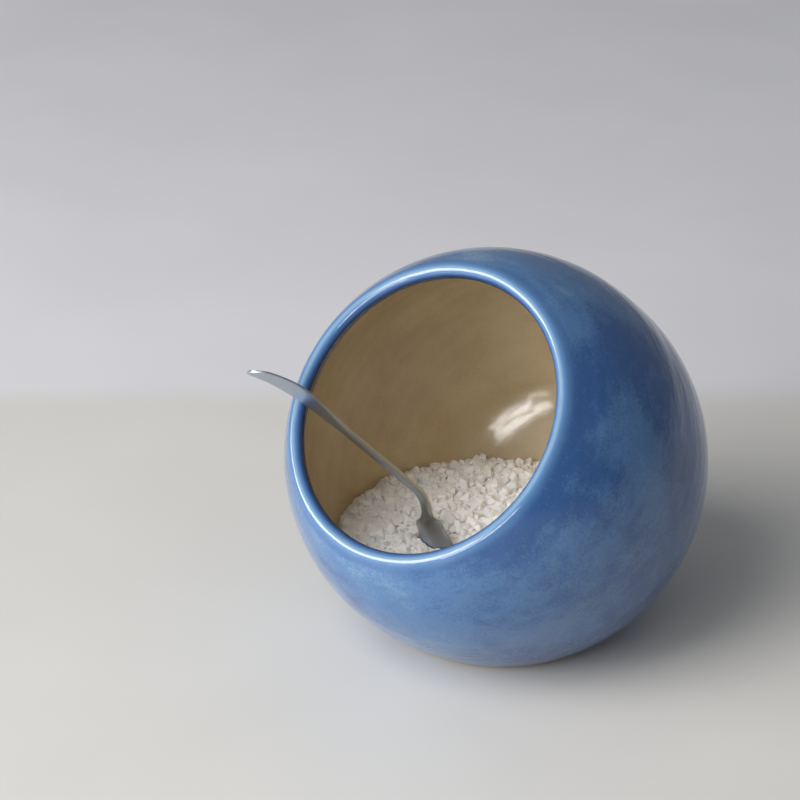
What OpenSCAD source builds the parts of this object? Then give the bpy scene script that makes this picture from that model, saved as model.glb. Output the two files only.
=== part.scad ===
// Salt pig: a round stoneware pot with a slanted open mouth, salt inside and a spoon leaning on its lip.
// Millimetres, +Z up. The origin is the middle of the flat foot. The mouth faces -Y and upward.

/* [Pot] */
// Outside diameter across the glazed belly
belly_d = 108; // [100:1:120]
// Length of the straight band between the two round halves of the belly
belly_band = 5.6; // [2:0.2:10]
// Angle of the mouth's axis above level, in degrees
mouth_tilt = 40; // [32:1:46]
// Inside diameter of the mouth at the lip
mouth_d = 72; // [66:1:76]
// Thickness of the finished wall, which is also the width of the rounded lip
wall_t = 4.4; // [3.6:0.2:6]
// Thickness of the finished floor above the table
floor_t = 5.6; // [4.4:0.2:7]
// Diameter of the flat foot
foot_d = 58; // [50:1:64]

/* [Glaze] */
// Thickness of each glaze coat
glaze_t = 0.4; // [0.3:0.05:0.6]
// Height of the bare clay band above the table
bare_foot_h = 0.8; // [0.4:0.1:2]

/* [Salt] */
// Height of the salt above the table where it meets the wall
salt_level = 23.5; // [20:0.5:27]
// Rise of the salt's middle over its edge
salt_crown = 2.6; // [1:0.2:4]
// Edge length of the largest crystals
crystal_size = 3; // [2:0.2:4]
// Number of crystals tried over the surface; those that would lie in the spoon's path are left out
crystal_count = 76; // [20:1:90]

/* [Spoon] */
// Width of the handle at its widest
handle_w = 9.6; // [8:0.2:11]
// Thickness of the flat handle
handle_t = 0.8; // [0.6:0.1:1.4]
// Radius of the bend that turns the handle's end down
tip_bend_r = 42; // [30:1:60]
// Angle through which the handle's end turns down, in degrees
tip_bend_angle = 26; // [18:1:30]
// Straight length from the end bend to the neck
stem_l = 42; // [36:1:46]
// Width of the stem
stem_d = 2.5; // [2:0.1:3]
// Thickness of the stem, from its top face to its underside
stem_t = 1.8; // [1.6:0.1:2.4]
// Radius of the bend at the neck
neck_bend_r = 8; // [6:0.5:12]
// Angle through which the neck drops to the bowl, in degrees
neck_angle = 60; // [45:1:65]
// Width of the shoulders where the neck meets the bowl
shoulder_w = 8; // [6:0.2:9]
// Thickness of the shoulders
shoulder_t = 1.2; // [1:0.1:1.4]
// Height of the ridge that the neck leaves along the bowl's back
ridge_h = 0.2; // [0.1:0.05:0.4]
// Lengthwise radius of the bowl's back
bowl_r = 23; // [20:0.5:28]
// Length of the bowl along its back
bowl_l = 23; // [20:0.5:26]
// Width of the bowl at its rim
bowl_w = 13.6; // [12:0.2:15]
// Thickness of the bowl's sheet
bowl_t = 0.9; // [0.6:0.1:1.2]

/* [Place of the spoon] */
// Angle around the mouth where the spoon leans, from the pot's +X side, in degrees
lean_angle = 195; // [185:1:205]
// Height of the bowl's tip above the floor of the pot
tip_height = 5.2; // [4.2:0.2:8]
// Compass direction in which the spoon points down into the pot, from +X, in degrees
spoon_heading = 55; // [48:1:60]
// Slope of the stem below level, in degrees
spoon_slope = 46.5; // [43:0.5:50]
// Roll of the spoon about its stem, in degrees
spoon_roll = -35; // [-42:1:-28]
// Air left between the spoon and the lip
lean_gap = 0.3; // [0.2:0.05:0.4]
// Air left between the spoon's bowl and the salt around it
salt_gap = 0.3; // [0.25:0.05:0.6]

/* [Hidden] */
$fn = 96;

belly_r = belly_d / 2;
inside_r = belly_r - wall_t;
lip_r = wall_t / 2;
foot_r = foot_d / 2;
half_band = belly_band / 2;
// Centre line of the wall, and the rounded lip's centre on it
wall_mid_r = belly_r - lip_r;
lip_ring_r = mouth_d / 2 + lip_r;
lip_rise = acos(lip_ring_r / wall_mid_r);
lip_axial = half_band + wall_mid_r * sin(lip_rise);
// The back half of the belly is centred above the foot
belly_h = sqrt(belly_r * belly_r - foot_r * foot_r);
mouth_axis = [0, -cos(mouth_tilt), sin(mouth_tilt)];
mouth_up = [0, sin(mouth_tilt), cos(mouth_tilt)];
belly_centre = [0, 0, belly_h] + half_band * mouth_axis;
lip_centre = belly_centre + lip_axial * mouth_axis;
// Size of the blocks that trim the solids, well over the pot
block = 4 * belly_r;

// Vectors of the spoon's own frame: along the stem, across the handle and out of its top face
function turn(v) = let(
        rolled = [
            v.x,
            v.y * cos(spoon_roll) - v.z * sin(spoon_roll),
            v.y * sin(spoon_roll) + v.z * cos(spoon_roll)
        ],
        sloped = [
            rolled.x * cos(spoon_slope) + rolled.z * sin(spoon_slope),
            rolled.y,
            rolled.z * cos(spoon_slope) - rolled.x * sin(spoon_slope)
        ])
    [
        sloped.x * cos(spoon_heading) - sloped.y * sin(spoon_heading),
        sloped.x * sin(spoon_heading) + sloped.y * cos(spoon_heading),
        sloped.z
    ];

// Outline of the handle, seen from above: the widest place and the taper into the stem
stem_r = stem_d / 2;
tip_x = -tip_bend_r * sin(tip_bend_angle);
end_share = 0.9;
end_r = end_share * handle_w / 2;
end_x = tip_x + end_r;
widest_share = 0.28;
widest_x = widest_share * tip_x;
taper_share = 0.35;
taper_x = taper_share * stem_l;
taper_angle = atan((handle_w / 2 - stem_r) / (taper_x - widest_x));

// Bowl: a dish cut from a ring, with its rim in one plane
bowl_angle = bowl_l / bowl_r * 180 / PI;
bowl_depth = bowl_r * (1 - cos(bowl_angle / 2));
cross_r = (bowl_w * bowl_w / 4 + bowl_depth * bowl_depth) / (2 * bowl_depth);
neck_end = [stem_l + neck_bend_r * sin(neck_angle), 0, -neck_bend_r * (1 - cos(neck_angle))];
// The underside of the neck runs into the ridge along the bowl's back
ridge_r = bowl_r + ridge_h;
bowl_centre = neck_end + (ridge_r - stem_t / 2) * [sin(neck_angle), 0, cos(neck_angle)];
bowl_mid_angle = -90 - neck_angle + bowl_angle / 2;
bowl_end_angle = -90 - neck_angle + bowl_angle;
// The shoulders spread over the end of the neck and run on under the bowl
flare_l = shoulder_w / 4;
shoulder_l = shoulder_w / 2;
shoulder_angle = shoulder_l / bowl_r * 180 / PI;
// Overlap of the strips on both sides of the neck's end
join_angle = 3;

// Corners of a box round the bowl, turned as the spoon lies but measured from its origin
bowl_mid = [cos(bowl_mid_angle), 0, sin(bowl_mid_angle)];
bowl_along = [-sin(bowl_mid_angle), 0, cos(bowl_mid_angle)];
bowl_half_l = bowl_r * sin(bowl_angle / 2);
turned_corners = [
    for (u = [-1, 1], v = [-1, 1], w = [bowl_r - bowl_depth, ridge_r])
        turn(bowl_centre + w * bowl_mid + u * bowl_half_l * bowl_along + [0, v * bowl_w / 2, 0])
];

// The handle's lower edge tapers and then runs straight along the stem. It lies on the lip at the
// place that brings the bowl down to its height over the floor.
edge_start = turn([0, handle_w / 2 + widest_x * tan(taper_angle), -handle_t / 2]);
edge_end = turn([taper_x, stem_r, -stem_t / 2]);
lip_point = lip_centre + lip_ring_r * (cos(lean_angle) * [1, 0, 0] + sin(lean_angle) * mouth_up);
lip_tangent = -sin(lean_angle) * [1, 0, 0] + cos(lean_angle) * mouth_up;
lip_side = cross(lip_tangent, edge_end - edge_start);
lip_rest = lip_point + (lip_r + lean_gap) * lip_side / norm(lip_side);
bowl_tip = turn(bowl_centre + bowl_r * [cos(bowl_end_angle), 0, sin(bowl_end_angle)]);
origin_h = floor_t + tip_height - bowl_tip.z;
taper_part = (lip_rest.z - origin_h - edge_start.z) / (edge_end.z - edge_start.z);
stem_part = (lip_rest.z - origin_h - edge_end.z) / turn([1, 0, 0]).z;
edge_point = taper_part < 1
    ? edge_start + taper_part * (edge_end - edge_start)
    : edge_end + stem_part * turn([1, 0, 0]);
spoon_origin = lip_rest - edge_point;

// Slot in the salt, a box round the bowl seen from above, open to the top
bowl_corners = [for (p = turned_corners) spoon_origin + p];
slot_turn = atan2(turn([0, 1, 0]).y, turn([0, 1, 0]).x);
function slot_x(p) = p.x * cos(slot_turn) + p.y * sin(slot_turn);
function slot_y(p) = p.y * cos(slot_turn) - p.x * sin(slot_turn);
slot_low = [min([for (p = bowl_corners) slot_x(p)]), min([for (p = bowl_corners) slot_y(p)])];
slot_high = [max([for (p = bowl_corners) slot_x(p)]), max([for (p = bowl_corners) slot_y(p)])];
slot_floor = min([for (p = bowl_corners) p.z]) - salt_gap;

// Crystals: places on a sunflower spiral over the salt, kept off the wall and out of the slot
salt_r = sqrt(inside_r * inside_r - pow(belly_h - salt_level, 2));
spread_r = salt_r - 1.5 * crystal_size;
crown_r = (spread_r * spread_r + salt_crown * salt_crown) / (2 * salt_crown);
spiral_step = 137.508;
seed = 11;
smallest_share = 0.7;
tilts = rands(0, 90, 3 * crystal_count, seed);
size_shares = rands(smallest_share, 1, crystal_count, seed + 1);
function spiral(i) = spread_r * sqrt((i + 0.5) / crystal_count)
    * [cos(i * spiral_step), sin(i * spiral_step)];
function crown_z(p) = salt_level + salt_crown - crown_r + sqrt(crown_r * crown_r - p.x * p.x - p.y * p.y);
function in_slot(p) = let(q = [slot_x(p), slot_y(p)])
    q.x > slot_low.x - crystal_size && q.x < slot_high.x + crystal_size &&
    q.y > slot_low.y - crystal_size && q.y < slot_high.y + crystal_size;

// Round belly of the pot, half outline beside its axis
module belly_outline(r) {
    intersection() {
        union() {
            translate([0, half_band]) circle(r = r);
            translate([0, -half_band]) circle(r = r);
            translate([0, -half_band]) square([r, belly_band]);
        }
        translate([0, -block / 2]) square([block / 2, block]);
    }
}

// Everything on the pot's side of the line on which the wall ends and the lip begins
module below_lip() {
    polygon([
        [0, half_band],
        [block * cos(lip_rise), half_band + block * sin(lip_rise)],
        [block, -block],
        [0, -block]
    ]);
}

// Half outline of a layer of the wall between two radii
module layer_outline(inner, outer) {
    intersection() {
        difference() {
            belly_outline(outer);
            belly_outline(inner);
        }
        below_lip();
    }
}

// Half outline of the wall with its rounded lip, drawn in from the glazed surface by a depth
module wall_outline(depth) {
    layer_outline(inside_r + depth, belly_r - depth);
    translate([lip_ring_r, lip_axial]) circle(r = lip_r - depth);
}

// Turn a half outline round the mouth's tilted axis
module thrown() {
    translate(belly_centre) rotate([90 - mouth_tilt, 0, 0]) rotate_extrude() children();
}

module level_slab(low, high) {
    translate([-block / 2, -block / 2, low]) cube([block, block, high - low]);
}

// Fired stoneware wall, lip core, floor and flat foot
module clay_body() {
    color("tan") difference() {
        union() {
            thrown() wall_outline(glaze_t);
            intersection() {
                thrown() belly_outline(belly_r - glaze_t);
                level_slab(0, floor_t - glaze_t);
            }
        }
        level_slab(-block, 0);
    }
}

// Blue coat: the outside, and over the lip to its inner edge
module outer_glaze() {
    color("steelblue") difference() {
        thrown() difference() {
            wall_outline(0);
            wall_outline(glaze_t);
            layer_outline(inside_r, inside_r + glaze_t);
        }
        level_slab(-block, bare_foot_h);
    }
}

// Beige coat: the inside wall and the floor
module liner_glaze() {
    color("burlywood") difference() {
        union() {
            thrown() layer_outline(inside_r, inside_r + glaze_t);
            intersection() {
                thrown() belly_outline(inside_r + glaze_t);
                level_slab(floor_t - glaze_t, floor_t);
            }
        }
        level_slab(-block, floor_t - glaze_t);
    }
}

// Slot that the spoon's bowl stands in and leaves straight upward
module spoon_slot() {
    rotate([0, 0, slot_turn])
        translate([slot_low.x - salt_gap, slot_low.y - salt_gap, slot_floor])
            cube([slot_high.x - slot_low.x + 2 * salt_gap, slot_high.y - slot_low.y + 2 * salt_gap, block]);
}

module crystals() {
    for (i = [0 : crystal_count - 1])
        if (!in_slot(spiral(i)))
            translate([spiral(i).x, spiral(i).y, crown_z(spiral(i))])
                rotate([tilts[3 * i], tilts[3 * i + 1], tilts[3 * i + 2]])
                    cube(crystal_size * size_shares[i], center = true);
}

// Low rounded heap that starts just inside the wall
module crown() {
    rotate_extrude() intersection() {
        translate([0, salt_level + salt_crown - crown_r]) circle(r = crown_r, $fn = 1440);
        translate([0, salt_level]) square([spread_r, salt_crown]);
    }
}

// Heaped salt in the belly, with a slot for the spoon and a seat for each crystal
module salt_bed() {
    color("white") difference() {
        union() {
            intersection() {
                thrown() belly_outline(inside_r);
                level_slab(floor_t, salt_level);
            }
            crown();
        }
        spoon_slot();
        crystals();
    }
}

module salt_crystals() {
    color("snow") crystals();
}

module handle_plan() {
    translate([end_x, 0]) circle(r = end_r);
    polygon([
        [end_x, -end_r],
        [widest_x, -handle_w / 2],
        [taper_x, -stem_r],
        [taper_x, stem_r],
        [widest_x, handle_w / 2],
        [end_x, end_r]
    ]);
}

// Plan of the stem and neck, up to the end of the ridge on the bowl
module stem_plan() {
    translate([taper_x, -stem_r]) square([neck_end.x + shoulder_l - taper_x, stem_d]);
}

module shoulder_plan() {
    polygon([
        [neck_end.x - flare_l, -stem_r],
        [neck_end.x, -shoulder_w / 2],
        [neck_end.x + shoulder_l, -shoulder_w / 2],
        [neck_end.x + shoulder_l, shoulder_w / 2],
        [neck_end.x, shoulder_w / 2],
        [neck_end.x - flare_l, stem_r]
    ]);
}

// Curved strip between two radii, from one direction to another in degrees from +X
module bent_strip(inner, outer, from, to) {
    reach = 2 * outer;
    intersection() {
        difference() {
            circle(r = outer, $fn = 360);
            circle(r = inner, $fn = 360);
        }
        polygon([[0, 0], reach * [cos(from), sin(from)], reach * [cos(to), sin(to)]]);
    }
}

// Side view of the strip that follows the neck and the bowl's back, measured up from their underside
module neck_side(thickness) {
    under_r = neck_bend_r - stem_t / 2;
    bowl_start = -90 - neck_angle;
    translate([stem_l, -neck_bend_r])
        bent_strip(under_r, under_r + thickness, 90 - neck_angle, 90);
    translate([bowl_centre.x, bowl_centre.z])
        bent_strip(ridge_r - thickness, ridge_r, bowl_start - join_angle, bowl_start + 2 * shoulder_angle);
}

// Side view of the handle, stem and neck
module bar_side() {
    translate([0, -tip_bend_r])
        bent_strip(tip_bend_r - handle_t / 2, tip_bend_r + handle_t / 2, 90, 90 + 1.5 * tip_bend_angle);
    polygon([
        [0, -handle_t / 2],
        [taper_x, -stem_t / 2],
        [stem_l, -stem_t / 2],
        [stem_l, stem_t / 2],
        [taper_x, stem_t / 2],
        [0, handle_t / 2]
    ]);
    neck_side(stem_t);
}

// Solid between a plan, drawn upward, and a side view, drawn across
module plan_and_side() {
    intersection() {
        translate([0, 0, -block / 2]) linear_extrude(block) children(0);
        rotate([90, 0, 0]) translate([0, 0, -handle_w]) linear_extrude(2 * handle_w) children(1);
    }
}

module bar() {
    plan_and_side() {
        union() {
            handle_plan();
            stem_plan();
        }
        bar_side();
    }
}

module shoulders() {
    plan_and_side() {
        shoulder_plan();
        neck_side(shoulder_t);
    }
}

module ring_solid(tube_r) {
    rotate([90, 0, 0]) rotate_extrude($fn = 180) translate([bowl_r - cross_r, 0]) circle(r = tube_r);
}

module bowl() {
    translate(bowl_centre) rotate([0, -bowl_mid_angle, 0]) intersection() {
        difference() {
            ring_solid(cross_r);
            ring_solid(cross_r - bowl_t);
        }
        translate([bowl_r - bowl_depth, -bowl_w, -bowl_l]) cube([2 * bowl_depth, 2 * bowl_w, 2 * bowl_l]);
    }
}

// Stamped steel spoon: flat handle, round stem, dropped neck and oval bowl
module spoon() {
    color("silver") translate(spoon_origin) rotate([spoon_roll, spoon_slope, spoon_heading]) {
        bar();
        shoulders();
        bowl();
    }
}

clay_body();
outer_glaze();
liner_glaze();
salt_bed();
salt_crystals();
spoon();
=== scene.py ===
import math
import random

import bpy
from bpy.props import FloatProperty, FloatVectorProperty, IntProperty, PointerProperty
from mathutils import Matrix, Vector
from mathutils.bvhtree import BVHTree
from mathutils.geometry import convex_hull_2d, intersect_point_line


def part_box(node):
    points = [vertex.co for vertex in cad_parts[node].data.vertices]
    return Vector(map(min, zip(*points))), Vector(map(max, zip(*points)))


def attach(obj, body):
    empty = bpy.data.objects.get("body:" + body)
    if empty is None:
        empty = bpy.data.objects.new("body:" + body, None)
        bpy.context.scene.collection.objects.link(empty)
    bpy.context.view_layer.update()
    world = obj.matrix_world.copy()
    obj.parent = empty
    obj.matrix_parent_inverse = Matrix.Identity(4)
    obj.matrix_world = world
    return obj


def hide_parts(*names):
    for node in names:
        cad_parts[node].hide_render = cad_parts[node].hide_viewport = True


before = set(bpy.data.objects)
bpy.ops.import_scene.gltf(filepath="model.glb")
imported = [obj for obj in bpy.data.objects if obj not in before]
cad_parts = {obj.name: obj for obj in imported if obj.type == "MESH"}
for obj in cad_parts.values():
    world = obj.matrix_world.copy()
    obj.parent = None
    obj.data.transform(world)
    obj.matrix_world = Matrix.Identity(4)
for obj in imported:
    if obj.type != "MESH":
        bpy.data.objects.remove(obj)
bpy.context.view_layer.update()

bl_info = {
    "name": "Salt Pig",
    "version": (1, 0, 0),
    "blender": (4, 5, 0),
    "location": "View3D > Sidebar > Salt Pig",
    "description": "Dresses the salt pig's solids in glaze, coarse salt and steel, on a studio stage",
    "category": "Mesh",
}

MM = 0.001

# Width of the image and of the camera's sensor, reach of the floor in metres, and colours of light
IMAGE_PIXELS = 800
SENSOR_MM = 36
FLOOR_REACH = 4
WARM_WHITE = (1, 0.98, 0.95)
COOL_WHITE = (0.93, 0.96, 1)

# Steps round the pot, along the halves of its outline and over the lip
THROWN_SEGMENTS = 160
SPHERE_STEPS = 44
FRONT_STEPS = 26
LIP_STEPS = 20

# Cells across the heap, and shapes that the grains are copied from, with their cuts
HEAP_CELLS = 150
GRAIN_SHAPES = 6
GRAIN_CUTS = 5

# Smallest grain, how much larger a few of them are, and reach of a grain from its middle,
# as shares of the largest grain's edge
SMALLEST_GRAIN = 0.42
GRAIN_SPREAD = 0.77
GRAIN_REACH = 0.65

# The spoon's blank: cells across it, and the ridge that the neck leaves along the bowl's back
BLANK_COLUMNS = 10
RIDGE = 0.2 * MM

# Subdivision draws the stem in, so its blank is wider and thicker by these shares
STEM_SPREAD = 1.06
GAUGE_SPREAD = 1.1


def half_width(node):
    """Half the extent of a node across the pot, from side to side."""
    low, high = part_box(node)
    return (high.x - low.x) / 2


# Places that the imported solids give, in metres
BELLY_R = half_width("outer_glaze")
GLAZE_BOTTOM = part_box("outer_glaze")[0].z
LINER_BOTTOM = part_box("liner_glaze")[0].z
SALT_BOTTOM, SALT_TOP = (corner.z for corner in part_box("salt_bed"))


class PotSettings(bpy.types.PropertyGroup):
    """Sizes and colours of the pot and its glazes"""

    mouth_tilt: FloatProperty(
        name="Mouth tilt", description="Angle of the mouth's axis above level",
        default=math.radians(40), subtype="ANGLE",
    )
    wall: FloatProperty(
        name="Wall", description="Thickness of the finished wall, and width of the rounded lip",
        default=4.4 * MM, unit="LENGTH",
    )
    band: FloatProperty(
        name="Band", description="Straight length between the two round halves of the belly",
        default=5.6 * MM, unit="LENGTH",
    )
    mouth_radius: FloatProperty(
        name="Mouth radius", description="Inside radius of the mouth at the lip",
        default=36 * MM, unit="LENGTH",
    )
    foot_radius: FloatProperty(
        name="Foot radius", description="Radius of the flat foot",
        default=29 * MM, unit="LENGTH",
    )
    glaze: FloatProperty(
        name="Glaze", description="Thickness of a glaze coat",
        default=0.4 * MM, unit="LENGTH",
    )
    blue: FloatVectorProperty(
        name="Blue", description="Main colour of the outer glaze",
        default=(0.066, 0.158, 0.335), subtype="COLOR",
    )
    deep_blue: FloatVectorProperty(
        name="Deep blue", description="Colour where the outer glaze lies thick",
        default=(0.026, 0.085, 0.245), subtype="COLOR",
    )
    pale_blue: FloatVectorProperty(
        name="Pale blue", description="Colour where the outer glaze floats thin",
        default=(0.2, 0.33, 0.44), subtype="COLOR",
    )
    # Rim: partly the glaze breaking pale over the lip, partly a painted highlight along its crest
    rim: FloatVectorProperty(
        name="Rim", description="Colour where the outer glaze breaks over the lip",
        default=(0.15, 0.25, 0.37), subtype="COLOR",
    )
    # Navy: the outer glaze's blue inside the lip, painted near-black as shade
    inner_lip_blue_and_shade: FloatVectorProperty(
        name="Navy", description="Colour where the outer glaze runs into the liner",
        default=(0.014, 0.03, 0.075), subtype="COLOR",
    )
    liner: FloatVectorProperty(
        name="Liner", description="Main colour of the inside glaze",
        default=(0.56, 0.455, 0.285), subtype="COLOR",
    )
    liner_dark: FloatVectorProperty(
        name="Dark liner", description="Colour of the inside glaze in its rings and next to the lip",
        default=(0.34, 0.24, 0.125), subtype="COLOR",
    )
    clay: FloatVectorProperty(
        name="Clay", description="Colour of the bare fired clay",
        default=(0.4, 0.27, 0.16), subtype="COLOR",
    )


class SaltSettings(bpy.types.PropertyGroup):
    """Size, number and colour of the salt grains"""

    level: FloatProperty(
        name="Level", description="Height of the salt where it meets the wall",
        default=23.5 * MM, unit="LENGTH",
    )
    grain: FloatProperty(
        name="Grain", description="Edge length of the largest grains",
        default=2.7 * MM, unit="LENGTH",
    )
    grains: IntProperty(
        name="Grains", description="Number of grains scattered over the heap",
        default=2150,
    )
    gap: FloatProperty(
        name="Gap", description="Air between the spoon and the salt round it",
        default=0.35 * MM, unit="LENGTH",
    )
    white: FloatVectorProperty(
        name="White", description="Colour of the grains",
        default=(0.96, 0.965, 0.97), subtype="COLOR",
    )
    shade: FloatVectorProperty(
        name="Shade", description="Colour of the clearer, greyer grains",
        default=(0.92, 0.93, 0.94), subtype="COLOR",
    )


class SpoonSettings(bpy.types.PropertyGroup):
    """Sizes and colour of the spoon"""

    handle_width: FloatProperty(
        name="Handle width", description="Width of the handle at its widest",
        default=9.6 * MM, unit="LENGTH",
    )
    handle_gauge: FloatProperty(
        name="Handle gauge", description="Thickness of the flat handle",
        default=0.8 * MM, unit="LENGTH",
    )
    tip_bend_radius: FloatProperty(
        name="Tip bend radius", description="Radius of the bend that turns the handle's end down",
        default=42 * MM, unit="LENGTH",
    )
    tip_bend: FloatProperty(
        name="Tip bend", description="Angle through which the handle's end turns down",
        default=math.radians(26), subtype="ANGLE",
    )
    stem_length: FloatProperty(
        name="Stem length", description="Straight length from the end bend to the neck",
        default=42 * MM, unit="LENGTH",
    )
    stem_width: FloatProperty(
        name="Stem width", description="Width of the stem",
        default=2.5 * MM, unit="LENGTH",
    )
    stem_gauge: FloatProperty(
        name="Stem gauge", description="Thickness of the stem",
        default=1.8 * MM, unit="LENGTH",
    )
    neck_radius: FloatProperty(
        name="Neck radius", description="Radius of the bend at the neck",
        default=8 * MM, unit="LENGTH",
    )
    neck_bend: FloatProperty(
        name="Neck bend", description="Angle through which the neck drops to the bowl",
        default=math.radians(60), subtype="ANGLE",
    )
    shoulder_width: FloatProperty(
        name="Shoulder width", description="Width of the shoulders where the neck meets the bowl",
        default=8 * MM, unit="LENGTH",
    )
    bowl_radius: FloatProperty(
        name="Bowl radius", description="Lengthwise radius of the bowl's back",
        default=23 * MM, unit="LENGTH",
    )
    bowl_length: FloatProperty(
        name="Bowl length", description="Length of the bowl along its back",
        default=23 * MM, unit="LENGTH",
    )
    bowl_width: FloatProperty(
        name="Bowl width", description="Width of the bowl at its rim",
        default=13.6 * MM, unit="LENGTH",
    )
    bowl_gauge: FloatProperty(
        name="Bowl gauge", description="Thickness of the bowl's sheet",
        default=0.9 * MM, unit="LENGTH",
    )
    roll: FloatProperty(
        name="Roll", description="Roll of the spoon about its stem",
        default=math.radians(-35), subtype="ANGLE",
    )
    slope: FloatProperty(
        name="Slope", description="Slope of the stem below level",
        default=math.radians(46.5), subtype="ANGLE",
    )
    heading: FloatProperty(
        name="Heading", description="Direction in which the spoon points down into the pot",
        default=math.radians(55), subtype="ANGLE",
    )
    steel: FloatVectorProperty(
        name="Steel", description="Colour of the polished steel",
        default=(0.46, 0.51, 0.58), subtype="COLOR",
    )


class StageSettings(bpy.types.PropertyGroup):
    """Camera and floor"""

    azimuth: FloatProperty(
        name="Azimuth", description="Direction of the camera round the pot",
        default=math.radians(39.6), subtype="ANGLE",
    )
    elevation: FloatProperty(
        name="Elevation", description="Height of the camera above level, as an angle",
        default=math.radians(27), subtype="ANGLE",
    )
    distance: FloatProperty(
        name="Distance", description="Distance of the camera from the pot",
        default=650 * MM, unit="LENGTH",
    )
    focal_pixels: FloatProperty(
        name="Focal length in pixels",
        description="Focal length over the size of a pixel of an 800 pixel image",
        default=2485,
    )
    shift_right: FloatProperty(
        name="Pot right of centre",
        description="How far right of the image's middle the belly's middle lies",
        default=25.17 * MM, unit="LENGTH",
    )
    shift_down: FloatProperty(
        name="Pot below centre",
        description="How far below the image's middle the belly's middle lies",
        default=15 * MM, unit="LENGTH",
    )
    near_floor: FloatProperty(
        name="Near floor", description="How far behind the pot the floor changes to its far colour",
        default=128 * MM, unit="LENGTH",
    )
    floor: FloatVectorProperty(
        name="Floor", description="Colour of the floor",
        default=(0.66, 0.65, 0.63), subtype="COLOR",
    )
    far_floor: FloatVectorProperty(
        name="Far floor", description="Colour of the floor far behind the pot",
        default=(0.72, 0.72, 0.76), subtype="COLOR",
    )


class Number:
    """A number in a shader. It wraps a socket, and arithmetic on it adds Math nodes."""

    def __init__(self, finish, socket):
        self.finish = finish
        self.socket = socket

    def __add__(self, other):
        return self.finish.math("ADD", self, other)

    __radd__ = __add__

    def __sub__(self, other):
        return self.finish.math("SUBTRACT", self, other)

    def __rsub__(self, other):
        return self.finish.math("SUBTRACT", other, self)

    def __mul__(self, other):
        return self.finish.math("MULTIPLY", self, other)

    __rmul__ = __mul__

    def __truediv__(self, other):
        return self.finish.math("DIVIDE", self, other)


class Finish:
    """Builds the look of a material, or of the world, out of nodes"""

    def __init__(self, owner):
        self.owner = owner
        owner.use_nodes = True
        self.nodes = owner.node_tree.nodes
        self.links = owner.node_tree.links
        self.nodes.clear()

    def node(self, kind, settings=None, sockets=None):
        """Add a node: first its settings, then a value or a link for each socket named or numbered."""
        made = self.nodes.new("ShaderNode" + kind)
        for name, value in (settings or {}).items():
            if name == "stops":
                self.set_stops(made.color_ramp.elements, value)
            else:
                setattr(made, name, value)
        for key, value in (sockets or {}).items():
            if isinstance(value, Number):
                value = value.socket
            if isinstance(value, bpy.types.NodeSocket):
                self.links.new(value, made.inputs[key])
            else:
                made.inputs[key].default_value = value
        return made

    def set_stops(self, elements, stops):
        while len(elements) < len(stops):
            elements.new(1)
        for element, (position, colour) in zip(elements, stops):
            element.position = position
            element.color = (*colour, 1)

    def math(self, operation, *values):
        made = self.node("Math", {"operation": operation}, dict(enumerate(values)))
        return Number(self, made.outputs[0])

    def smooth(self, value, start, end):
        """Share that rises smoothly from 0 to 1 as the value goes from start to end."""
        settings = {"interpolation_type": "SMOOTHSTEP"}
        sockets = {"Value": value, "From Min": start, "From Max": end}
        return Number(self, self.node("MapRange", settings, sockets).outputs["Result"])

    def mix(self, first, second, share):
        """Colour between two colours."""
        sockets = {0: share, 6: self.colour(first), 7: self.colour(second)}
        return self.node("Mix", {"data_type": "RGBA"}, sockets).outputs[2]

    def colour(self, value):
        return value if isinstance(value, bpy.types.NodeSocket) else (*value, 1)

    def ramp(self, value, start, end, bands):
        """Colour ramp over a range; bands are places in that range with their colours."""
        stops = [((place - start) / (end - start), colour) for place, colour in bands]
        share = (value - start) / (end - start)
        return self.node("ValToRGB", {"stops": stops}, {"Fac": share}).outputs["Color"]

    def millimetres(self, origin=(0, 0, 0), turn=(0, 0, 0)):
        """Object coordinates in millimetres, in a frame with this origin and turn."""
        place = self.node("TexCoord").outputs["Object"]
        sockets = {"Vector": place, "Location": origin, "Rotation": turn, "Scale": (MM, MM, MM)}
        return self.node("Mapping", {"vector_type": "TEXTURE"}, sockets).outputs["Vector"]

    def stretched(self, place, scale):
        return self.node("Mapping", {}, {"Vector": place, "Scale": scale}).outputs["Vector"]

    def axes(self, place):
        parts = self.node("SeparateXYZ", {}, {"Vector": place}).outputs
        return [Number(self, part) for part in parts]

    def noise(self, place, size, detail=2, roughness=0.5, distortion=0):
        """Cloudy noise whose features are about this size, in the units of the place."""
        sockets = {
            "Vector": place, "Scale": 1 / size, "Detail": detail,
            "Roughness": roughness, "Distortion": distortion,
        }
        return Number(self, self.node("TexNoise", {}, sockets).outputs["Fac"])

    def bump(self, height, depth):
        """Bump whose height of 1 stands this many metres proud."""
        return self.node("Bump", {}, {"Height": height, "Distance": depth}).outputs["Normal"]

    def surface(self, **sockets):
        """Principled surface; names of sockets are written with underscores."""
        named = {name.replace("_", " "): value for name, value in sockets.items()}
        shader = self.node("BsdfPrincipled", {}, named)
        self.node("OutputMaterial", {}, {"Surface": shader.outputs["BSDF"]})
        return self.owner


def new_finish(name):
    return Finish(bpy.data.materials.new(name))


def darker(colour, share):
    return tuple(part * share for part in colour)


def mouth_axis(pot):
    return Vector((0, -math.cos(pot.mouth_tilt), math.sin(pot.mouth_tilt)))


def mouth_down(pot):
    """Direction in the plane of the mouth that leads to its lowest place."""
    return Vector((0, -math.sin(pot.mouth_tilt), -math.cos(pot.mouth_tilt)))


def belly_centre(pot):
    """Middle of the belly. The centre of its round back half is straight above the foot."""
    return Vector((0, 0, math.sqrt(BELLY_R ** 2 - pot.foot_radius ** 2))) + pot.band / 2 * mouth_axis(pot)


def lip_rise(pot):
    """Angle at which the wall's centre line reaches the lip, seen from the round front half's centre."""
    return math.acos((pot.mouth_radius + pot.wall / 2) / wall_middle(pot))


def wall_middle(pot):
    return BELLY_R - pot.wall / 2


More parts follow.
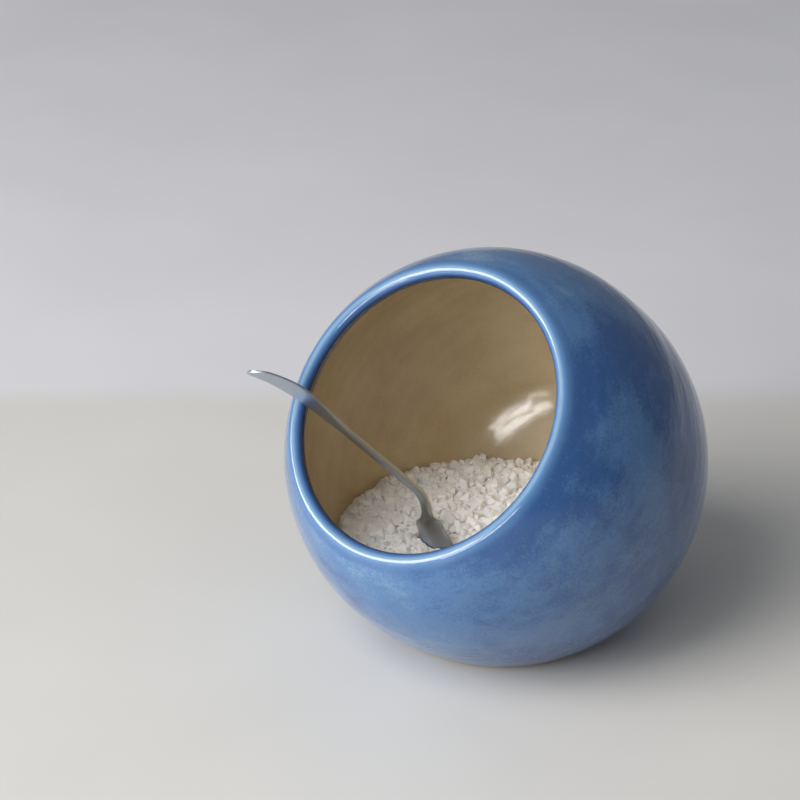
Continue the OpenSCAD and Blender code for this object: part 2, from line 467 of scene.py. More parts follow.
def arc(centre, radius, start, end, steps):
    """Points of an arc as distances from the pot's axis and along it."""
    angles = [start + (end - start) * step / steps for step in range(steps + 1)]
    return [(centre[0] + radius * math.cos(a), centre[1] + radius * math.sin(a)) for a in angles]


def belly_outline(pot, radius, end, front_steps):
    """Half outline of the belly, from the middle of its back to this angle past its widest place."""
    back = arc((0, -pot.band / 2), radius, -math.pi / 2, 0, SPHERE_STEPS)
    return back + arc((0, pot.band / 2), radius, 0, end, front_steps)


def select_only(piece):
    bpy.ops.object.select_all(action="DESELECT")
    piece.select_set(True)
    bpy.context.view_layer.objects.active = piece


def name_piece(piece, name):
    piece.name = name
    piece.data.name = name


def finish_piece(piece, body, slot, material, *replaced):
    """Give a piece its material and its body, and hide the nodes that it stands for. The slot is not used.
    """
    piece.data.materials.clear()
    piece.data.materials.append(material)
    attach(piece, body)
    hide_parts(*replaced)


def apply_modifier(piece, kind, **settings):
    select_only(piece)
    modifier = piece.modifiers.new(kind.title(), kind)
    for name, value in settings.items():
        setattr(modifier, name, value)
    bpy.ops.object.modifier_apply(modifier=modifier.name)


def throw(pot, outline, inward=False):
    """Draw a half outline point by point and turn it round the pot's axis, as on a wheel."""
    points = [belly_centre(pot) + out * mouth_down(pot) + along * mouth_axis(pot) for out, along in outline]
    bpy.ops.object.select_all(action="DESELECT")
    bpy.ops.mesh.primitive_plane_add(size=MM)
    piece = bpy.context.object
    bpy.ops.object.mode_set(mode="EDIT")
    bpy.ops.mesh.select_all(action="SELECT")
    bpy.ops.mesh.merge(type="CENTER")
    bpy.ops.transform.translate(value=points[0])
    for before, after in zip(points, points[1:]):
        bpy.ops.mesh.extrude_region_move(TRANSFORM_OT_translate={"value": after - before})
    bpy.ops.mesh.select_all(action="SELECT")
    bpy.ops.mesh.spin(
        steps=THROWN_SEGMENTS, angle=2 * math.pi, center=belly_centre(pot), axis=mouth_axis(pot),
    )
    bpy.ops.mesh.select_all(action="SELECT")
    bpy.ops.mesh.remove_doubles(threshold=0.01 * MM)
    bpy.ops.mesh.normals_make_consistent(inside=inward)
    return piece


def cut_below(height, fill=False):
    """In edit mode, take away all that lies below a level."""
    bpy.ops.mesh.select_all(action="SELECT")
    bpy.ops.mesh.bisect(
        plane_co=(0, 0, height), plane_no=(0, 0, 1), clear_inner=True, use_fill=fill,
    )


def face_outward():
    """In edit mode, turn all faces to the outside."""
    bpy.ops.mesh.select_all(action="SELECT")
    bpy.ops.mesh.normals_make_consistent(inside=False)


def raise_solid(height):
    """In edit mode, extrude a sheet by this height, or down where it is less than zero."""
    bpy.ops.mesh.select_all(action="SELECT")
    bpy.ops.mesh.extrude_region_move(TRANSFORM_OT_translate={"value": (0, 0, height)})
    face_outward()


def coat(piece, name, pot):
    """Name a thrown sheet, give it the glaze's thickness and smooth it."""
    bpy.ops.object.mode_set(mode="OBJECT")
    name_piece(piece, name)
    apply_modifier(piece, "SOLIDIFY", thickness=pot.glaze, offset=-1, use_even_offset=True)
    bpy.ops.object.shade_smooth_by_angle(angle=math.radians(40))


class SALTPIG_OT_outer_glaze(bpy.types.Operator):
    """Blue glaze over the outside and the lip"""

    bl_idname = "saltpig.outer_glaze"
    bl_label = "Outer glaze"

    def execute(self, context):
        pot = context.scene.saltpig_pot
        rise = lip_rise(pot)
        lip = (wall_middle(pot) * math.cos(rise), pot.band / 2 + wall_middle(pot) * math.sin(rise))
        outline = belly_outline(pot, BELLY_R, rise, FRONT_STEPS)
        outline += arc(lip, pot.wall / 2, rise, rise + math.pi, LIP_STEPS)[1:]
        piece = throw(pot, outline)
        cut_below(GLAZE_BOTTOM)
        coat(piece, "outer_glaze_coat", pot)
        finish_piece(piece, "pot", "blue_glaze", outer_glaze_finish(pot), "outer_glaze")
        return {"FINISHED"}


class SALTPIG_OT_liner_glaze(bpy.types.Operator):
    """Beige glaze over the inside wall and the floor"""

    bl_idname = "saltpig.liner_glaze"
    bl_label = "Liner glaze"

    def execute(self, context):
        pot = context.scene.saltpig_pot
        piece = throw(pot, belly_outline(pot, BELLY_R - pot.wall, lip_rise(pot), FRONT_STEPS), inward=True)
        cut_below(LINER_BOTTOM + pot.glaze, fill=True)
        coat(piece, "liner_glaze_coat", pot)
        finish_piece(piece, "pot", "liner_glaze", liner_glaze_finish(pot), "liner_glaze")
        return {"FINISHED"}


class SALTPIG_OT_clay(bpy.types.Operator):
    """Bare clay that shows at the foot"""

    bl_idname = "saltpig.clay"
    bl_label = "Clay"

    def execute(self, context):
        fired = clay_finish(context.scene.saltpig_pot)
        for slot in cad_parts["clay_body"].material_slots:
            slot.material = fired
        return {"FINISHED"}


def thrown_place(finish, pot):
    """Place in millimetres in the frame in which the pot was thrown, with Z along its axis."""
    return finish.millimetres(belly_centre(pot), (math.pi / 2 - pot.mouth_tilt, 0, 0))


def lip_distance(finish, pot, place):
    """Distance in millimetres over the surface from the lip's crest, less than zero inside."""
    rise = lip_rise(pot)
    lip_r = pot.wall / 2 / MM
    middle_r = wall_middle(pot) / MM
    x, y, z = finish.axes(place)
    out = finish.math("SQRT", x * x + y * y)
    half_band = pot.band / 2 / MM
    along = z - finish.math("MINIMUM", finish.math("MAXIMUM", z, -half_band), half_band)
    from_centre = finish.math("SQRT", out * out + along * along)
    past_line = middle_r * (finish.math("ARCTAN2", along, out) - rise)
    side = finish.math("MINIMUM", finish.math("MAXIMUM", (from_centre - middle_r) / lip_r, -1), 1)
    down_wall = finish.math("MAXIMUM", past_line * -1, 0)
    return lip_r * finish.math("ARCSINE", side) + finish.math("SIGN", side) * down_wall


def outer_glaze_finish(pot):
    finish = new_finish("blue glaze")
    place = thrown_place(finish, pot)

    # The coat is cloudy, mottled and grainy. The +X side, away from the window, is painted a little
    # deeper blue as shade. A low depth is a thick, deep blue coat, and a high one floats pale.
    x = finish.axes(place)[0]
    clouds = finish.noise(place, 26, detail=2, roughness=0.5, distortion=0.3)
    mottles = finish.noise(finish.stretched(place, (1, 1, 1.6)), 6, detail=4, roughness=0.62)
    grain = finish.noise(place, 0.7, detail=3, roughness=0.6)
    shaded_side = finish.smooth(x, 0, 46)
    depth = clouds * 0.55 + mottles * 0.27 + grain * 0.18 - shaded_side * 0.1
    colour = finish.mix(pot.deep_blue, pot.blue, finish.smooth(depth, 0.34, 0.5))
    colour = finish.mix(colour, pot.pale_blue, finish.smooth(depth, 0.5, 0.7) * 0.7)
    colour = finish.mix(colour, pot.deep_blue, finish.smooth(grain, 0.46, 0.28) * 0.35)
    specks = finish.smooth(finish.noise(place, 0.8, detail=1), 0.6, 0.75)
    colour = finish.mix(colour, pot.pale_blue, specks * 0.12)

    # Bands along the lip, by their distance from its crest in millimetres: a near-black blue inside,
    # painted as shade, and pale on top, where the glaze breaks thin, with a painted highlight along the
    # crest
    wander = (finish.noise(place, 7, detail=3) - 0.5) * 1.2
    from_crest = lip_distance(finish, pot, place) + wander * 0.4
    bands = finish.ramp(from_crest, -5, 10, [
        (-3.6, pot.inner_lip_blue_and_shade), (-1.2, pot.inner_lip_blue_and_shade), (-0.2, pot.deep_blue), (0.7, pot.blue), (1.3, pot.rim),
        (1.8, pot.rim), (2.4, pot.blue), (3.4, pot.blue), (5.5, pot.deep_blue), (8, pot.deep_blue),
    ])
    lip_share = 1 - finish.smooth(from_crest + wander * 2, 3, 6)
    colour = finish.mix(colour, bands, lip_share)

    ripple = finish.noise(finish.stretched(place, (1, 1, 3)), 14, detail=2)
    skin = ripple + mottles * 0.15 + grain * 0.02
    return finish.surface(
        Base_Color=colour, Roughness=0.09 + (grain - 0.5) * 0.06, Normal=finish.bump(skin, 0.35 * MM),
        Specular_IOR_Level=0.55, Coat_Weight=0.3, Coat_Roughness=0.05,
    )


def liner_glaze_finish(pot):
    finish = new_finish("beige liner glaze")
    place = thrown_place(finish, pot)
    z = finish.axes(place)[2]
    clouds = finish.noise(place, 20, detail=3, roughness=0.55)
    wander = finish.noise(place, 9, detail=2)
    rings = finish.math("SINE", (z + wander * 5) * 1.1)
    fine = finish.noise(place, 0.8, detail=2)
    share = finish.smooth(clouds * 0.6 + rings * 0.015 + fine * 0.2, 0.22, 0.6)
    colour = finish.mix(pot.liner_dark, pot.liner, share * 0.5 + 0.5)

    # Towards the lip the liner turns brown, and then into a near-black blue, painted shade on the inner
    # side of the lip
    from_crest = lip_distance(finish, pot, place) + (wander - 0.5) * 1.2
    lip_share = finish.smooth(from_crest, -5.4, -4)
    colour = finish.mix(colour, pot.inner_lip_blue_and_shade, lip_share * 0.9)
    brown_share = finish.smooth(from_crest, -7.5, -5)
    colour = finish.mix(colour, pot.liner_dark, brown_share * (1 - lip_share) * 0.7)

    # The coat thickens from 36 mm behind the belly's middle, along the pot's axis
    deep = finish.math("SMOOTH_MAX", z * -1 - 36, 0, 4)
    skin = rings * 0.1 + clouds * 0.8 + fine * 0.01 + deep * 1.37
    return finish.surface(
        Base_Color=colour, Roughness=0.15 + (fine - 0.5) * 0.05, Normal=finish.bump(skin, 0.25 * MM),
        Specular_IOR_Level=0.5, Coat_Weight=0.6, Coat_Roughness=0.45,
    )


def clay_finish(pot):
    finish = new_finish("bare fired clay")
    place = finish.millimetres()
    grit = finish.noise(place, 0.5, detail=4, roughness=0.7)
    stain = finish.noise(place, 6, detail=3)
    share = finish.smooth(grit * 0.6 + stain * 0.5, 0.35, 0.65)
    colour = finish.mix(darker(pot.clay, 0.55), pot.clay, share)
    return finish.surface(
        Base_Color=colour, Roughness=0.85 + (grit - 0.5) * 0.1, Normal=finish.bump(grit, 0.15 * MM),
    )


def bend_line(spoon):
    """Centre line of the spoon seen from the side, from the handle's end to the bowl's tip."""
    step = 0.5 * MM
    bends = [
        (spoon.tip_bend_radius * spoon.tip_bend, spoon.tip_bend),
        (spoon.stem_length, 0),
        (spoon.neck_radius * spoon.neck_bend, spoon.neck_bend),
        (bowl_run(spoon), -spoon.bowl_length / spoon.bowl_radius),
    ]
    down = -spoon.tip_bend
    point = Vector((0, 0, 0))
    points = [point.copy()]
    for length, turn in bends:
        count = math.ceil(length / step)
        for _ in range(count):
            down += turn / count / 2
            point = point + length / count * Vector((math.cos(down), 0, -math.sin(down)))
            down += turn / count / 2
            points.append(point)
    return points


def bowl_run(spoon):
    """Length of the spoon's centre line over the bowl."""
    line_radius = spoon.bowl_radius - (spoon.stem_gauge - spoon.bowl_gauge) / 2
    return spoon.bowl_length / spoon.bowl_radius * line_radius


def bowl_section(spoon, share):
    """Half width of the bowl and depth of its rim, at a share of the way from the neck to the tip."""
    half_angle = spoon.bowl_length / spoon.bowl_radius / 2
    rim_plane = spoon.bowl_radius * math.cos(half_angle)
    depth = spoon.bowl_radius - rim_plane
    cross_radius = (spoon.bowl_width ** 2 / 4 + depth ** 2) / (2 * depth)
    rim_distance = rim_plane / math.cos((2 * share - 1) * half_angle)
    reach = rim_distance - (spoon.bowl_radius - cross_radius)
    return math.sqrt(max(0, cross_radius ** 2 - reach ** 2)), spoon.bowl_radius - rim_distance


def landmarks(spoon):
    """Places along the blank: ends of the bent handle and of its taper, starts of the neck and the bowl."""
    tip_run = spoon.tip_bend_radius * spoon.tip_bend
    taper_end = tip_run + 0.35 * spoon.stem_length
    neck_start = tip_run + spoon.stem_length
    return tip_run, taper_end, neck_start, neck_start + spoon.neck_radius * spoon.neck_bend


def lay_out_stations(spoon):
    """Stations along the flat blank: place, half width and depth of the dish at the edge."""
    tip_run, taper_end, neck_start, bowl_start = landmarks(spoon)
    end_r = 0.45 * spoon.handle_width
    widest = 0.73 * tip_run
    bulge = 0.08 * MM
    flare = spoon.shoulder_width / 4
    handle_half = spoon.handle_width / 2
    stem_half = STEM_SPREAD * spoon.stem_width / 2
    shoulder_half = spoon.shoulder_width / 2

    # Round end and widest place of the handle
    stations = []
    for angle in (8, 18, 30, 44, 58, 74, 90):
        a = math.radians(angle)
        stations.append((end_r * (1 - math.cos(a)), end_r * math.sin(a), 0))
    stations.append(((end_r + widest) / 2, (end_r + handle_half) / 2 + bulge, 0))
    stations.append((widest, handle_half, 0))

    # Taper to the stem, straight stem, and neck that swells into the shoulders
    for share in (0.12, 0.3, 0.5, 0.7, 0.88, 1):
        half = handle_half + share * (stem_half - handle_half)
        stations.append((widest + share * (taper_end - widest), half, 0))
    for share in (0.1, 0.4, 0.7, 1):
        stations.append((taper_end + share * (neck_start - taper_end), stem_half, 0))
    for share in (0.25, 0.5, 0.7):
        stations.append((neck_start + share * (bowl_start - neck_start), stem_half * (1 + 0.3 * share), 0))
    stations.append((bowl_start - 0.4 * flare, stem_half * 1.4, 0))
    stations.append((bowl_start + 0.15 * flare, stem_half * 1.75, 0))
    stations.append((bowl_start + 0.4 * flare, shoulder_half * 0.85, 0))
    stations.append((bowl_start + 0.65 * flare, shoulder_half * 1.2, 0))

    # Dished bowl, closer together towards its tip
    for share in (0.1, 0.16, 0.22, 0.3, 0.4, 0.5, 0.6, 0.7, 0.79, 0.87, 0.93, 0.97, 0.992):
        half, depth = bowl_section(spoon, share)
        half = max(half, shoulder_half * 1.35) if share < 0.3 else half
        stations.append((bowl_start + share * bowl_run(spoon), half, depth))
    return stations


def sheet_gauge(spoon, place, across):
    """Thickness of the steel at a place along the blank and a share of its half width."""
    tip_run, taper_end, _, bowl_start = landmarks(spoon)
    to_stem = min(max((place - tip_run) / (taper_end - tip_run), 0), 1)
    to_bowl = min(max((place - bowl_start + spoon.shoulder_width / 4) / spoon.shoulder_width * 2, 0), 1)
    along = spoon.handle_gauge + to_stem * (GAUGE_SPREAD * spoon.stem_gauge - spoon.handle_gauge)

    # The bar is thinner at its edges, and it turns into the bowl's sheet later along its middle
    edge_loss = 0.2 + 0.15 * to_stem * (1 - to_bowl)
    bar = along * (1 - edge_loss * across ** 2)
    edge_fade = min(1, 2.2 * abs(across))
    bowl_share = to_bowl * edge_fade + (1 - edge_fade) * to_bowl ** 2
    return bar + bowl_share * (spoon.bowl_gauge * (1 - 0.2 * across ** 2) - bar)


def cut_blank(spoon):
    """Flat blank of the spoon, a row of vertices extruded from station to station."""
    stations = lay_out_stations(spoon)
    first_place, first_half, _ = stations[0]
    bpy.ops.object.select_all(action="DESELECT")
    bpy.ops.mesh.primitive_grid_add(x_subdivisions=1, y_subdivisions=BLANK_COLUMNS, size=2 * first_half)
    piece = bpy.context.object
    name_piece(piece, "steel_spoon")
    bpy.ops.object.mode_set(mode="EDIT")
    bpy.ops.mesh.select_mode(type="VERT")
    bpy.ops.mesh.select_all(action="DESELECT")
    bpy.ops.object.mode_set(mode="OBJECT")
    for vertex in piece.data.vertices:
        vertex.select = vertex.co.x < 0
    bpy.ops.object.mode_set(mode="EDIT")
    bpy.ops.mesh.delete(type="VERT")
    bpy.ops.mesh.select_all(action="SELECT")
    bpy.ops.transform.translate(value=(first_place - first_half, 0, 0))
    last_place, last_half = first_place, first_half
    for place, half, _ in stations[1:]:
        bpy.ops.mesh.extrude_region_move(TRANSFORM_OT_translate={"value": (place - last_place, 0, 0)})
        bpy.ops.transform.resize(value=(1, half / last_half, 1), center_override=(place, 0, 0))
        last_place, last_half = place, half
    bpy.ops.object.mode_set(mode="OBJECT")
    return piece, stations


def draw_guide(points):
    """Guide curve through these points, for the Curve modifier."""
    line = bpy.data.curves.new("spoon_line", "CURVE")
    line.dimensions = "3D"
    line.twist_mode = "Z_UP"
    spline = line.splines.new("POLY")
    spline.points.add(len(points) - 1)
    for point, at in zip(spline.points, points):
        point.co = (*at, 1)
    guide = bpy.data.objects.new("spoon_line", line)
    bpy.context.collection.objects.link(guide)
    return guide


class SALTPIG_OT_spoon(bpy.types.Operator):
    """Stamped steel spoon that leans on the lip and stands in the salt"""

    bl_idname = "saltpig.spoon"
    bl_label = "Spoon"

    def execute(self, context):
        spoon = context.scene.saltpig_spoon
        piece, stations = cut_blank(spoon)

        # Dish the bowl, and note the gauge of the steel at each vertex
        full_gauge = GAUGE_SPREAD * spoon.stem_gauge
        group = piece.vertex_groups.new(name="gauge")
        for vertex in piece.data.vertices:
            place, half, depth = min(stations, key=lambda station: abs(station[0] - vertex.co.x))
            across = vertex.co.y / half
            group.add([vertex.index], sheet_gauge(spoon, place, across) / full_gauge, "REPLACE")
            vertex.co.z = depth * across ** 2
            if depth:
                vertex.co.z -= (spoon.stem_gauge - spoon.bowl_gauge) / 2 - RIDGE

        # Thicken the blank, bend it along its centre line and round its edges
        apply_modifier(piece, "SOLIDIFY", thickness=full_gauge, offset=0, vertex_group="gauge")
        guide = draw_guide(bend_line(spoon))
        apply_modifier(piece, "CURVE", object=guide, deform_axis="POS_X")
        bpy.data.objects.remove(guide)
        apply_modifier(piece, "SUBSURF", levels=2, render_levels=2)

        # Turn it to its place and centre it on the solid that it stands for
        piece.rotation_euler = (spoon.roll, spoon.slope, spoon.heading)
        bpy.ops.object.transform_apply()
        low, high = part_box("spoon")
        corners = [Vector(corner) for corner in piece.bound_box]
        middle = (corners[0] + corners[6]) / 2
        piece.location = (low + high) / 2 - middle
        bpy.ops.object.transform_apply()
        bpy.ops.object.mode_set(mode="EDIT")
        face_outward()
        bpy.ops.object.mode_set(mode="OBJECT")
        bpy.ops.object.shade_smooth()
        finish_piece(piece, "spoon", "steel", steel_finish(spoon), "spoon")
        return {"FINISHED"}


def steel_finish(spoon):
    finish = new_finish("polished steel")
    place = finish.millimetres(turn=(spoon.roll, spoon.slope, spoon.heading))
    streaks = finish.noise(finish.stretched(place, (0.06, 1, 1)), 0.25, detail=3)
    smudges = finish.noise(place, 5, detail=3)
    return finish.surface(
        Base_Color=(*spoon.steel, 1), Metallic=1,
        Roughness=0.28 + streaks * 0.14 + smudges * 0.08,
        Normal=finish.bump(streaks, 0.01 * MM),
    )


def spoon_shadow(below):
    """Outline, seen from above, of the part of the spoon that lies lower than a height."""
    points = [v.co.to_2d() for v in bpy.data.objects["steel_spoon"].data.vertices if v.co.z < below]
    return [points[index] for index in convex_hull_2d(points)]


def distance_outside(outline, point):
    """Distance of a point from a convex outline, less than zero inside."""
    sides = list(zip(outline, outline[1:] + outline[:1]))
    inside = all((b - a).cross(point - a) >= 0 for a, b in sides)
    nearest = []
    for a, b in sides:
        share = min(max(intersect_point_line(point, a, b)[1], 0), 1)
        nearest.append((point - a.lerp(b, share)).length)
    return -min(nearest) if inside else min(nearest)


def slot_cutter(salt, height):
    """Block that cuts the spoon's slot out of the heap, a gap wider than the spoon all round."""
    shadow = spoon_shadow(SALT_TOP + salt.grain)
    middle = sum(shadow, Vector((0, 0))) / len(shadow)
    bpy.ops.object.select_all(action="DESELECT")
    bpy.ops.mesh.primitive_circle_add(vertices=len(shadow), radius=height, fill_type="NGON")
    slot = bpy.context.object
    low = min(v.co.z for v in bpy.data.objects["steel_spoon"].data.vertices) - salt.gap
    for vertex, point in zip(slot.data.vertices, shadow):
        point = point + salt.gap * (point - middle).normalized()
        vertex.co = (*point, low)
    bpy.ops.object.mode_set(mode="EDIT")
    raise_solid(height)
    bpy.ops.object.mode_set(mode="OBJECT")
    return slot


class SALTPIG_OT_salt_heap(bpy.types.Operator):
    """Heap of salt under the loose grains"""

    bl_idname = "saltpig.salt_heap"
    bl_label = "Salt heap"

    def execute(self, context):
        pot = context.scene.saltpig_pot
        salt = context.scene.saltpig_salt
        inside = BELLY_R - pot.wall
        bpy.ops.object.select_all(action="DESELECT")
        bpy.ops.mesh.primitive_grid_add(
            x_subdivisions=HEAP_CELLS, y_subdivisions=HEAP_CELLS, size=2 * inside,
            location=(0, 0, salt.level),
        )
        heap = bpy.context.object
        name_piece(heap, "salt_heap")
        bpy.ops.object.transform_apply()

        # Crown the sheet half a grain below the solid's top, and roughen it
        for vertex in heap.data.vertices:
            out = vertex.co.to_2d().length / inside
            vertex.co.z += (SALT_TOP - salt.level) * max(0, 1 - out ** 2) - 0.5 * salt.grain
        for name, kind, size, strength in (("dunes", "CLOUDS", 11, 2.2), ("grains", "VORONOI", 2.1, 1.1)):
            texture = bpy.data.textures.new(name, kind)
            texture.noise_scale = size * MM
            apply_modifier(
                heap, "DISPLACE", texture=texture, strength=strength * MM, mid_level=0.6, direction="Z",
            )
        bpy.ops.object.mode_set(mode="EDIT")
        raise_solid(SALT_BOTTOM - salt.level - inside)
        cut_below(SALT_BOTTOM, fill=True)
        bpy.ops.object.mode_set(mode="OBJECT")

        # Keep what lies inside the belly, and cut the spoon's slot
        belly = throw(pot, belly_outline(pot, inside, math.pi / 2, SPHERE_STEPS))
        bpy.ops.object.mode_set(mode="OBJECT")
        apply_modifier(heap, "BOOLEAN", object=belly, operation="INTERSECT", solver="EXACT")
        bpy.data.objects.remove(belly)
        slot = slot_cutter(salt, inside)
        apply_modifier(heap, "BOOLEAN", object=slot, operation="DIFFERENCE", solver="EXACT")
        bpy.data.objects.remove(slot)
        select_only(heap)
        bpy.ops.object.shade_smooth_by_angle(angle=math.radians(35))
        finish_piece(heap, "pot", "salt", salt_finish(salt, "packed salt"), "salt_bed")
        return {"FINISHED"}


def grain_shapes(size):
    """A few different broken crystals, each a cube cut across its corners."""
    shapes = []
    chance = random.Random(5)
    for _ in range(GRAIN_SHAPES):
        bpy.ops.object.select_all(action="DESELECT")
        bpy.ops.mesh.primitive_cube_add(size=size)
        shape = bpy.context.object
        bpy.ops.object.mode_set(mode="EDIT")
        bpy.ops.mesh.select_all(action="SELECT")
        bpy.ops.transform.resize(value=(1, chance.uniform(0.7, 1), chance.uniform(0.55, 0.9)))
        for _ in range(GRAIN_CUTS):
            toward_corner = [chance.choice((-1, 1)) * chance.uniform(0.3, 1) for _ in range(3)]
            normal = Vector(toward_corner).normalized()
            depth = size * chance.uniform(0.38, 0.5)
            bpy.ops.mesh.select_all(action="SELECT")
            bpy.ops.mesh.bisect(
                plane_co=normal * depth, plane_no=normal, clear_outer=True, use_fill=True,
            )
        bpy.ops.object.mode_set(mode="OBJECT")
        apply_modifier(shape, "BEVEL", width=0.05 * size, segments=1)
        shapes.append(shape)
    return shapes


class SALTPIG_OT_salt_grains(bpy.types.Operator):
    """Loose coarse grains over the heap"""

    bl_idname = "saltpig.salt_grains"
    bl_label = "Salt grains"

    def execute(self, context):
        pot = context.scene.saltpig_pot
        salt = context.scene.saltpig_salt
        heap = BVHTree.FromObject(bpy.data.objects["salt_heap"], context.evaluated_depsgraph_get())
        up = Vector((0, 0, 1))
        inside = BELLY_R - pot.wall
        wall_centres = [belly_centre(pot) + side * pot.band / 2 * mouth_axis(pot) for side in (-1, 1)]
        shadow = spoon_shadow(SALT_TOP + 2 * salt.grain)
        shapes = grain_shapes(salt.grain)
        chance = random.Random(23)
        grains = []
        while len(grains) < salt.grains:
            share = SMALLEST_GRAIN + GRAIN_SPREAD * chance.random() ** 2
            radius = share * salt.grain * GRAIN_REACH
            angle = chance.uniform(0, 2 * math.pi)
            out = inside * math.sqrt(chance.random())
            place = Vector((out * math.cos(angle), out * math.sin(angle), 0))
            on_heap = heap.ray_cast(place + (SALT_TOP + inside) * up, -up)[0]
            if not on_heap or on_heap.z < salt.level - salt.grain:
                continue
            on_heap += chance.uniform(-0.15, 0.35) * share * salt.grain * up

            # A grain that would reach into the wall or the spoon is thrown away
            in_wall = min((on_heap - centre).length for centre in wall_centres) > inside - radius
            if in_wall or distance_outside(shadow, place.to_2d()) < radius + salt.gap:
                continue
            shape = chance.choice(shapes)
            grain = shape.copy()
            grain.data = shape.data.copy()
            grain.location = on_heap
            grain.rotation_euler = [chance.uniform(0, 2 * math.pi) for _ in range(3)]
            grain.scale = (share, share, share)
            context.collection.objects.link(grain)
            grains.append(grain)
        for shape in shapes:
            bpy.data.objects.remove(shape)
        bpy.ops.object.select_all(action="DESELECT")
        for grain in grains:
            grain.select_set(True)
        context.view_layer.objects.active = grains[0]
        bpy.ops.object.join()
        piece = context.object
        bpy.ops.object.transform_apply()
        name_piece(piece, "salt_grains")
        finish_piece(piece, "pot", "crystal", salt_finish(salt, "salt crystals"), "salt_crystals")
        return {"FINISHED"}


def salt_finish(salt, name):
    finish = new_finish(name)
    place = finish.millimetres()
    patches = finish.noise(place, 2.4, detail=2)
    frost = finish.noise(place, 0.35, detail=3, roughness=0.7)
    share = finish.smooth(patches * 0.7 + frost * 0.3, 0.36, 0.6)
    colour = finish.mix(salt.shade, salt.white, share)
    return finish.surface(
        Base_Color=colour, Roughness=0.3 + frost * 0.3, Normal=finish.bump(frost, 0.08 * MM),
        Subsurface_Weight=0.2, Subsurface_Scale=0.8 * MM, Subsurface_Radius=(1, 1, 1),
    )


def compass(azimuth, elevation):
    """Direction that points to a place at this compass direction and this height above level."""
    return Vector((
        math.sin(azimuth) * math.cos(elevation),
        -math.cos(azimuth) * math.cos(elevation),
        math.sin(elevation),
    ))


def look_from(thing, place, target):
    thing.location = place
    thing.rotation_euler = (target - place).to_track_quat("-Z", "Y").to_euler()


def add_lamp(name, target, azimuth, elevation, distance, size, power, colour=WARM_WHITE, roll=0):
    """Area lamp, placed by its compass direction and height in degrees, seen from what it lights."""
    bpy.ops.object.light_add(type="AREA")
    lamp = bpy.context.object
    lamp.name = name
    lamp.data.shape = "RECTANGLE"
    lamp.data.size, lamp.data.size_y = size
    lamp.data.energy = power
    lamp.data.color = colour
    direction = compass(math.radians(azimuth), math.radians(elevation))
    look_from(lamp, target + distance * direction, target)
    lamp.rotation_euler.rotate_axis("Z", math.radians(roll))
    lamp.visible_camera = False
    return lamp


def floor_finish(stage):
    """Pale floor, faintly clouded, that changes its colour softly a little way behind the pot."""
    finish = new_finish("floor")
    ahead = compass(stage.azimuth + math.pi, 0)
    x, y, _ = finish.axes(finish.millimetres())
    edge = stage.near_floor / MM
    fade = 12
    share = finish.smooth(x * ahead.x + y * ahead.y, edge - fade, edge + fade)
    cloud = finish.noise(finish.millimetres(), 60, detail=2)
    clear = finish.mix(stage.floor, stage.far_floor, share)
    dim = finish.mix(darker(stage.floor, 0.9), darker(stage.far_floor, 0.9), share)
    return finish.surface(Base_Color=finish.mix(dim, clear, cloud), Roughness=0.35)


def lay_floor(stage):
    bpy.ops.object.select_all(action="DESELECT")
    bpy.ops.mesh.primitive_plane_add(size=2 * FLOOR_REACH, rotation=(0, 0, stage.azimuth))
    bpy.ops.object.transform_apply()
    plane = bpy.context.object
    name_piece(plane, "floor")
    plane.data.materials.append(floor_finish(stage))


def studio_world():
    """Soft light from all round, a little brighter in front of the mouth than behind the pot."""
    world = bpy.data.worlds.new("studio")
    room = Finish(world)
    bright = compass(math.radians(-15), math.radians(35))
    x, y, z = room.axes(room.node("TexCoord").outputs["Generated"])
    toward_bright = x * bright.x + y * bright.y + z * bright.z
    light = room.smooth(toward_bright, -0.1, 0.95) * 0.15 + 0.2
    shown = room.node("Background", {}, {"Color": (*COOL_WHITE, 1), "Strength": light}).outputs[0]
    room.node("OutputWorld", {}, {"Surface": shown})
    return world


def add_lamps(middle):
    """A window for the shape, two soft lamps that fill, and a narrow one for the streak on the liner."""
    add_lamp("window", middle, azimuth=-31, elevation=19, distance=2, size=(1.5, 0.9), power=40)
    low = add_lamp("low_light", middle, azimuth=-4, elevation=18, distance=1, size=(0.6, 0.35), power=4)
    above = add_lamp(
        "mouth_light", middle, azimuth=-10, elevation=52, distance=1, size=(0.5, 0.5), power=4.6,
    )
    low.visible_glossy = above.visible_glossy = False
    streak = add_lamp(
        "streak", middle, azimuth=7, elevation=15.4, distance=1, size=(0.56, 0.075), power=3,
        colour=(1, 1, 1), roll=43,
    )
    streak.visible_diffuse = False


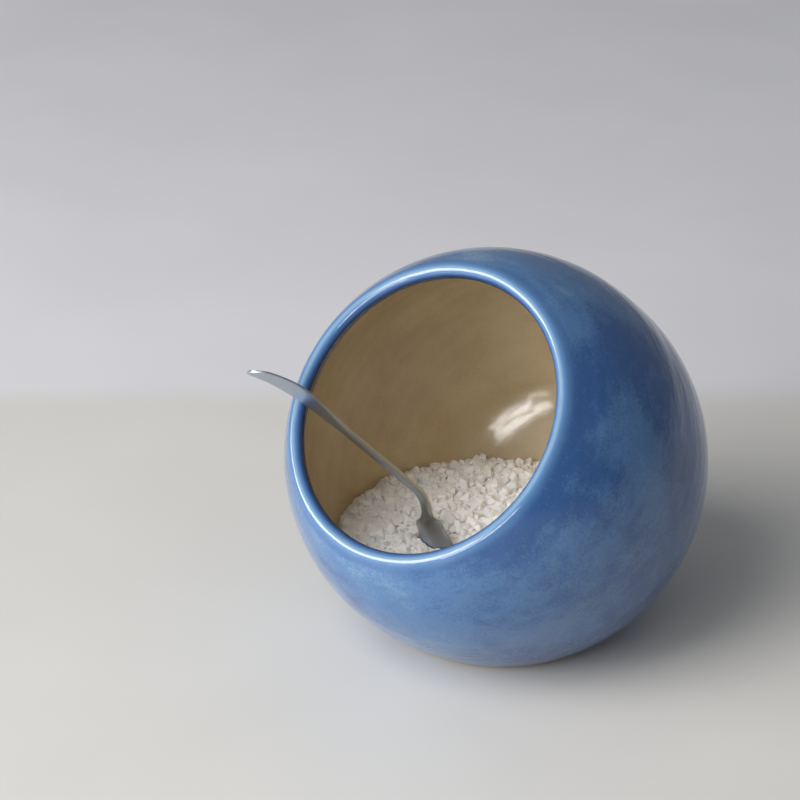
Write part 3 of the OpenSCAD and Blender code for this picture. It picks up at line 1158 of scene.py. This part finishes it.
class SALTPIG_OT_stage(bpy.types.Operator):
    """Set up the camera, the floor, the lamps and the world"""

    bl_idname = "saltpig.stage"
    bl_label = "Stage"

    def execute(self, context):
        stage = context.scene.saltpig_stage
        middle = belly_centre(context.scene.saltpig_pot)
        toward = compass(stage.azimuth, stage.elevation)
        right = compass(stage.azimuth + math.pi / 2, 0)
        up = toward.cross(right)
        target = middle - stage.shift_right * right + stage.shift_down * up

        bpy.ops.object.camera_add()
        camera = context.object
        camera.data.sensor_width = SENSOR_MM
        camera.data.lens = SENSOR_MM * stage.focal_pixels / IMAGE_PIXELS
        look_from(camera, target + stage.distance * toward, target)
        context.scene.camera = camera
        context.scene.view_settings.view_transform = "Standard"

        lay_floor(stage)
        add_lamps(middle)
        context.scene.world = studio_world()
        return {"FINISHED"}


class SALTPIG_PT_panel(bpy.types.Panel):
    """Lists the pieces of the salt pig"""

    bl_label = "Salt Pig"
    bl_idname = "SALTPIG_PT_panel"
    bl_space_type = "VIEW_3D"
    bl_region_type = "UI"
    bl_category = "Salt Pig"

    def draw(self, context):
        for operator in OPERATORS:
            self.layout.operator(operator.bl_idname)
        for group in SETTINGS:
            box = self.layout.box()
            settings = getattr(context.scene, group)
            for name in settings.__annotations__:
                box.prop(settings, name)


OPERATORS = (
    SALTPIG_OT_stage, SALTPIG_OT_clay, SALTPIG_OT_outer_glaze, SALTPIG_OT_liner_glaze,
    SALTPIG_OT_spoon, SALTPIG_OT_salt_heap, SALTPIG_OT_salt_grains,
)
SETTINGS = {
    "saltpig_pot": PotSettings,
    "saltpig_salt": SaltSettings,
    "saltpig_spoon": SpoonSettings,
    "saltpig_stage": StageSettings,
}


def register():
    for cls in (*SETTINGS.values(), *OPERATORS, SALTPIG_PT_panel):
        bpy.utils.register_class(cls)
    for name, cls in SETTINGS.items():
        setattr(bpy.types.Scene, name, PointerProperty(type=cls))


def unregister():
    for name in SETTINGS:
        delattr(bpy.types.Scene, name)
    for cls in reversed((*SETTINGS.values(), *OPERATORS, SALTPIG_PT_panel)):
        bpy.utils.unregister_class(cls)


def main():
    register()
    bpy.ops.saltpig.stage()
    bpy.ops.saltpig.clay()
    bpy.ops.saltpig.outer_glaze()
    bpy.ops.saltpig.liner_glaze()
    bpy.ops.saltpig.spoon()
    bpy.ops.saltpig.salt_heap()
    bpy.ops.saltpig.salt_grains()


if __name__ == "__main__":
    main()
